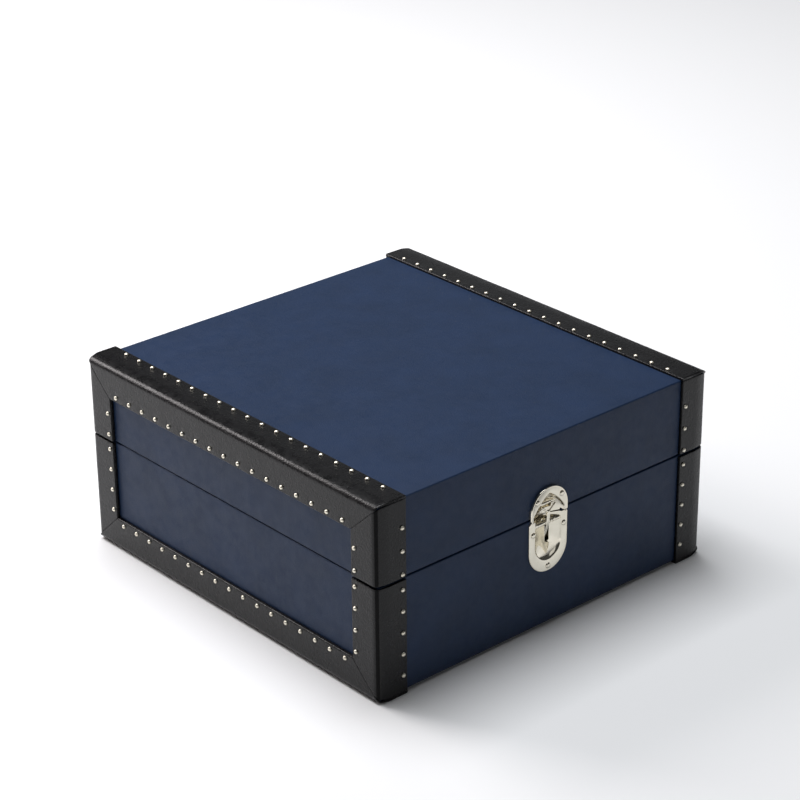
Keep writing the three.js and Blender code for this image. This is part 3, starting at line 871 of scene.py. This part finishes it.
def fin_section(t):
    """The height and outline of the lever's fin at a part t of the way up."""
    bottom = low("catch_lever").z
    z = bottom + (FORK + 2.2 - bottom) * t
    front = min(-2.3 + 3.3 * (z - bottom) / (PIN_Z - bottom), 1.0 + 0.09 * (z - PIN_Z))
    half = 0.95 + 0.45 * min(1.0, t * 1.6)
    back = front - 1.6 if z < FORK else 0.1
    back = max(back, -4.2) if z < PIN_Z + 3 else max(back, -2.2)
    if t == 0:
        front, half = front - 0.5, half * 0.7
    if t == 1:
        front, half = front - 0.7, half * 0.7
    soft = 0.3 * half
    outline = [
        (-half, back),
        (half, back),
        (half, front - soft),
        (half - soft, front),
        (0.0, front + 0.05),
        (soft - half, front),
        (-half, front - soft),
    ]
    return (z, outline)


def lever():
    """A thumb fin on a hub, narrower towards its tail, with two arms that spread at its top."""
    pieces = [loft_z("fin", [fin_section(k / 16) for k in range(17)], 35.0)]
    pieces.append(bar_x("hub", KNUCKLE, -2.2, 2.2, PIN_OUT, PIN_Z))
    tip_x, tip_z = high("catch_lever").x - 0.7, high("catch_lever").z - 0.7
    arm = ((0.0, 0.5), (0.03, 0.62), (0.95, 0.68), (1.0, 0.45))
    for side in (-1, 1):
        root = (0.0, -FACE_Y - 0.8, FORK + 0.8)
        tip = (side * tip_x, -FACE_Y - 0.72, tip_z)
        pieces.append(rod("arm", root, tip, arm, 12))
    return join("catch_lever_piece", pieces)


def keeper():
    """The bar that the lever's arms hook over, on its two posts."""
    node_low, node_high = low("catch_keeper"), high("catch_keeper")
    radius = (node_high.z - node_low.z) / 2
    out = -node_low.y - FACE_Y - radius
    middle = (node_low.z + node_high.z) / 2
    pieces = [bar_x("keeper_bar", radius, node_low.x, node_high.x, out, middle, 0.6)]
    for x in (-7.3, 7.3):
        post_low = (x - 0.7, -FACE_Y - out, middle - 1)
        post_high = (x + 0.7, -FACE_Y + 3.8, middle + 1)
        pieces.append(rounded_box("post", post_low, post_high, 0.2))
    return join("catch_keeper_piece", pieces)


def dome_screw(name, body, node):
    """A domed screw head standing on a catch plate."""
    node_low, node_high = low(node), high(node)
    x, z = (node_low.x + node_high.x) / 2, (node_low.z + node_high.z) / 2
    radius = (node_high.x - node_low.x) / 2
    dome = ((0.9, -0.25), (1.0, 0.0), (0.96, 0.25), (0.8, 0.6), (0.5, 0.88), (0.15, 0.99))
    profile = [(radius * wide, tall) for wide, tall in dome]
    head = lathe(name, profile, lambda a, b, h: (x + a, node_high.y - h, z + b))
    finish(head, NICKEL, body, node)


def make_catch():
    """The catch's plates, keeper, lever and screws; its pin and spring keep their CAD shape."""
    finish(base_plate(), NICKEL, "base", "catch_base_plate")
    finish(lid_plate(), NICKEL, "lid", "catch_lid_plate")
    finish(keeper(), NICKEL, "lid", "catch_keeper")
    finish(lever(), NICKEL, "lever", "catch_lever")
    for place in ("lid_left", "lid_right", "base_left", "base_right", "bottom"):
        body = "lid" if place.startswith("lid") else "base"
        dome_screw(f"screw_{place}", body, f"catch_screw_{place}")
    retouch("catch_pin", NICKEL)
    retouch("catch_spring", STEEL)


# ---------------------------------------------------------------- inside

SHEET = 1.5
TRAY_WALL = 3.0
DIVIDER_ROUND = 1.1


def open_box(name, box_low, box_high, wall, floor, lip, upside_down=False):
    """A lining or tray: an open box with a rounded lip, or its mirror image, open below."""
    centre = ((box_low.x + box_high.x) / 2, (box_low.y + box_high.y) / 2)
    half_x = (box_high.x - box_low.x) / 2
    half_y = (box_high.y - box_low.y) / 2
    height = box_high.z - box_low.z
    rings = [(half_x, half_y, 0.6, height * k / 3) for k in range(3)]
    rings.append((half_x, half_y, 0.6, height - lip))
    for degrees in (30, 60, 90, 120, 150, 180):
        bend = math.radians(degrees)
        inset = wall / 2 * (1 - math.cos(bend))
        rings.append((half_x - inset, half_y - inset, 0.6, height - lip * (1 - math.sin(bend))))
    for k in (2, 1):
        rings.append((half_x - wall, half_y - wall, 0.6, floor + (height - floor) * k / 3))
    for degrees in (0, 30, 60, 90):
        bend = math.radians(degrees)
        inset = wall + 1.5 * (1 - math.cos(bend))
        rings.append((half_x - inset, half_y - inset, 0.6, floor + 1.5 * (1 - math.sin(bend))))
    if upside_down:
        placed = [(hx, hy, r, box_high.z - z) for hx, hy, r, z in rings]
    else:
        placed = [(hx, hy, r, box_low.z + z) for hx, hy, r, z in rings]
    return ring_loft(name, placed, centre, 50.0, 12)


def divider(name, body, material):
    """A covered board with softened edges in the place of a CAD board."""
    finish(rounded_box(name, low(name), high(name), DIVIDER_ROUND), material, body, name)


def swell(obj, cap, pinned, voxel):
    """Blows a closed skin up as cloth, then holds each point within a cap of its start.

    pinned(z) says at which heights the points stay where they are, such as a glued back.
    """
    remesh = obj.modifiers.new("voxels", "REMESH")
    remesh.mode = "VOXEL"
    remesh.voxel_size = voxel * MM
    apply_modifiers(obj)
    start = np.array([v.co[:] for v in obj.data.vertices])
    held = [bool(pinned(co[2] / MM)) for co in start]
    group = obj.vertex_groups.new(name="held")
    group.add([i for i, hold in enumerate(held) if hold], 1.0, "REPLACE")
    cloth = obj.modifiers.new("cloth", "CLOTH")
    cloth.settings.use_pressure = True
    cloth.settings.uniform_pressure_force = 4.0
    cloth.settings.effector_weights.gravity = 0.0
    cloth.settings.quality = 4
    cloth.settings.vertex_group_mass = "held"
    cloth.point_cache.frame_start = 1
    cloth.point_cache.frame_end = CLOTH_FRAMES
    for number in range(1, CLOTH_FRAMES + 1):
        bpy.context.scene.frame_set(number)
    apply_modifiers(obj)
    bpy.context.scene.frame_set(1)
    obj.vertex_groups.clear()
    for vertex, co, hold in zip(obj.data.vertices, start, held):
        away = vertex.co - Vector(co)
        reach = away.length
        if hold or reach < 1e-7:
            vertex.co = co
        else:
            kept = cap * MM * math.tanh(reach / (cap * MM))
            vertex.co = Vector(co) + away * (kept / reach)
    smooth = obj.modifiers.new("smooth", "SUBSURF")
    smooth.levels = 1
    apply_modifiers(obj)
    obj.data.shade_smooth()


def arched_outline(half, foot, head, foot_round, head_round, spacing):
    """An upright outline about the middle line, with its own corner radius below and above."""
    corners = [
        (-half, foot, foot_round),
        (half, foot, foot_round),
        (half, head, head_round),
        (-half, head, head_round),
    ]
    return rounded_polygon(corners, spacing)


def ring_roll(name):
    """One padded roll for rings: flat below, crowned above, drawn in at its ends."""
    node_low, node_high = low(name), high(name)
    half = (node_high.y - node_low.y) / 2 - 0.9
    middle = (node_low.y + node_high.y) / 2
    tall = node_high.z - node_low.z - 1.4
    section = arched_outline(half, 0.0, tall, 1.5, half * 0.8, 2.5)
    bottom = node_low.z + 0.2

    def ends(v, h):
        pull = 1.6 * (h / tall) ** 2
        return (node_low.x + 1.2 + pull, node_high.x - 1.2 - pull)

    roll = sweep(name, section, ends, lambda v, h, s: (s, middle + v, bottom + h), 4.0, 1.5)
    swell(roll, 0.7, lambda z: z < bottom + 0.6, 2.6)
    finish(roll, PADDED, "tray", name)


def lid_pad():
    """The pad in the lid: a glued flat back, soft edges and a slightly crowned face."""
    node_low, node_high = low("lid_pad"), high("lid_pad")
    half_x, half_y = node_high.x - 1.2, node_high.y - 1.2
    back = node_high.z
    face = node_low.z + 2.6
    rings = [
        (half_x, half_y, 6.0, back),
        (half_x, half_y, 6.0, back - 1.5),
        (half_x - 1.0, half_y - 1.0, 5.5, face + 1.0),
        (half_x - 2.6, half_y - 2.6, 5.0, face),
    ]
    pad = ring_loft("lid_pad_piece", rings, (0, 0), 60.0, 60)
    swell(pad, 2.2, lambda z: z > back - 1.4, 4.0)
    finish(pad, PADDED, "lid", "lid_pad")


def pull_tab(name):
    """A leather pull tab with a round end and a stitched edge."""
    node_low, node_high = low(name), high(name)
    middle = (node_low.y + node_high.y) / 2
    half = (node_high.y - node_low.y) / 2
    foot, head = node_low.z, node_high.z

    def ends(y, z):
        return (node_low.x + 0.02, node_high.x - 0.02)

    outline = arched_outline(half, foot, head, 0.8, half * 0.7, 3.0)
    strap = sweep(name, outline, ends, lambda y, z, s: (s, y + middle, z), 0.4, 0.3)
    finish(strap, NAVY, "tray", name)
    inner = node_low.x if node_low.x > 0 else node_high.x
    side = -1 if node_low.x > 0 else 1
    x = inner + side * 0.05
    line = arched_outline(half - 1.8, foot + 1.8, head - 1.8, 0.8, half * 0.6, 1.25)
    stitches = []
    for first, second in zip(line[::2], line[1::2]):
        start, stop = (x, first.x + middle, first.y), (x, second.x + middle, second.y)
        stitches.append(thread(start, stop))
    finish(join("stitches_" + name, stitches), PADDED, "tray")


def thread(start, stop):
    """One stitch: a short thread that rises in its middle."""
    thickness = ((0.0, 0.09), (0.25, 0.2), (0.5, 0.22), (0.75, 0.2), (1.0, 0.09))
    return rod("thread", start, stop, thickness, 6)


def make_inside():
    """The boards, linings, tray, dividers, ring rolls, tabs and the lid's pad."""
    retouch("base_carcass", BOARD)
    finish(lid_carcass(), BOARD, "lid", "lid_carcass")
    for body in ("base", "lid"):
        node = body + "_lining"
        box = (low(node), high(node))
        lining = open_box(node + "_piece", *box, SHEET, SHEET, 0.7, body == "lid")
        finish(lining, LINING, body, node)
    box = (low("tray_body"), high("tray_body"))
    tray = open_box("tray_body_piece", *box, TRAY_WALL, TRAY_WALL, 1.4)
    finish(tray, TRAY, "tray", "tray_body")
    for name in sorted(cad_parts):
        if name.startswith("base_divider"):
            divider(name, "base", LINING)
        if name.startswith("tray_divider"):
            divider(name, "tray", TRAY)
        if name.startswith("ring_roll"):
            ring_roll(name)
        if name.startswith("tray_tab"):
            pull_tab(name)
    lid_pad()


# ---------------------------------------------------------------- hinges


def hinge_screw(x, z):
    """A flat domed screw head on the outside of a hinge leaf."""
    profile = [(1.5, -0.15), (1.7, 0.0), (1.6, 0.3), (1.2, 0.55), (0.6, 0.68), (0.15, 0.7)]
    return lathe("head", profile, lambda a, b, h: (x + a, FACE_Y + 1.2 + h, z + b))


def make_hinges():
    """The hinges keep their CAD shape; their screws are added in the leaves."""
    for name in sorted(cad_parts):
        if not name.startswith("hinge_"):
            continue
        retouch(name, NICKEL)
        if "leaf" not in name:
            continue
        body, up = ("base", -1) if "base" in name else ("lid", 1)
        middle = (low(name).x + high(name).x) / 2
        heads = []
        for dx, dz in ((-10.5, 8.0), (10.5, 8.0), (0.0, 15.0)):
            heads.append(hinge_screw(middle + dx, PARTING + up * dz))
        finish(join("screws_" + name, heads), NICKEL, body)


# ---------------------------------------------------------------- stage


def make_stage():
    """A pale floor, a dim surround and soft lights."""
    scene = bpy.context.scene
    scene.view_settings.view_transform = "Standard"
    bm = bmesh.new()
    bmesh.ops.create_circle(bm, cap_ends=True, radius=8.0, segments=64)
    mesh = bpy.data.meshes.new("floor")
    bm.to_mesh(mesh)
    bm.free()
    floor = bpy.data.objects.new("floor", mesh)
    scene.collection.objects.link(floor)
    paper = Shader("paper", Roughness=0.9, Base_Color=(0.88, 0.88, 0.88, 1))
    mesh.materials.append(paper.material)
    world = bpy.data.worlds.new("surround")
    world.use_nodes = True
    background = world.node_tree.nodes["Background"]
    background.inputs["Color"].default_value = (1, 1, 1, 1)
    background.inputs["Strength"].default_value = 0.05
    scene.world = world
    area_light("overhead", (0.0, 0.6, 3.0), 1.8, 88.0, (0.95, 0.97, 1.0))
    area_light("key", (-0.8, 0.95, 0.6), 0.8, 1.0, (1.0, 0.9, 0.92))
    area_light("edge", (-0.42, 1.4, 1.05), 0.9, 22.0, (1.0, 0.95, 0.95))
    area_light("rim", (1.6, 1.7, 0.8), 1.0, 0.9, (0.94, 0.97, 1.0))
    area_light("front", (0.5, -2.5, 0.75), 1.3, 3.0, (1.0, 1.0, 1.0))


def area_light(name, place, size, power, colour):
    """A square soft light aimed at the middle of the case."""
    data = bpy.data.lights.new(name, "AREA")
    data.size = size
    data.energy = power
    data.color = colour
    light = bpy.data.objects.new(name, data)
    light.location = place
    aim = Vector((0, 0, 0.07)) - Vector(place)
    light.rotation_euler = aim.to_track_quat("-Z", "Y").to_euler()
    bpy.context.scene.collection.objects.link(light)


def make_camera():
    """A long lens from the front left, a little above the case."""
    azimuth, elevation, roll = (math.radians(a) for a in (-41.28, 25.44, -0.56))
    away = 1.7773
    aside, below = 0.0029, 0.0384  # how far the case's centre sits left of and under the axis
    flat = math.cos(elevation)
    back = Vector((math.sin(azimuth) * flat, -math.cos(azimuth) * flat, math.sin(elevation)))
    level = (-back).cross(Vector((0, 0, 1))).normalized()
    upright = level.cross(-back)
    right = level * math.cos(roll) + upright * math.sin(roll)
    up = -level * math.sin(roll) + upright * math.cos(roll)
    data = bpy.data.cameras.new("camera")
    data.lens = 114.5
    data.sensor_width = 36.0
    data.clip_end = 50.0
    camera = bpy.data.objects.new("camera", data)
    centre = Vector((0, 0, TOP * MM / 2))
    camera.location = centre + right * aside + up * below + back * away
    camera.rotation_euler = Matrix((right, up, back)).transposed().to_euler()
    bpy.context.scene.collection.objects.link(camera)
    bpy.context.scene.camera = camera


make_camera()
make_stage()
make_trims()
make_covers()
make_catch()
make_inside()
make_hinges()
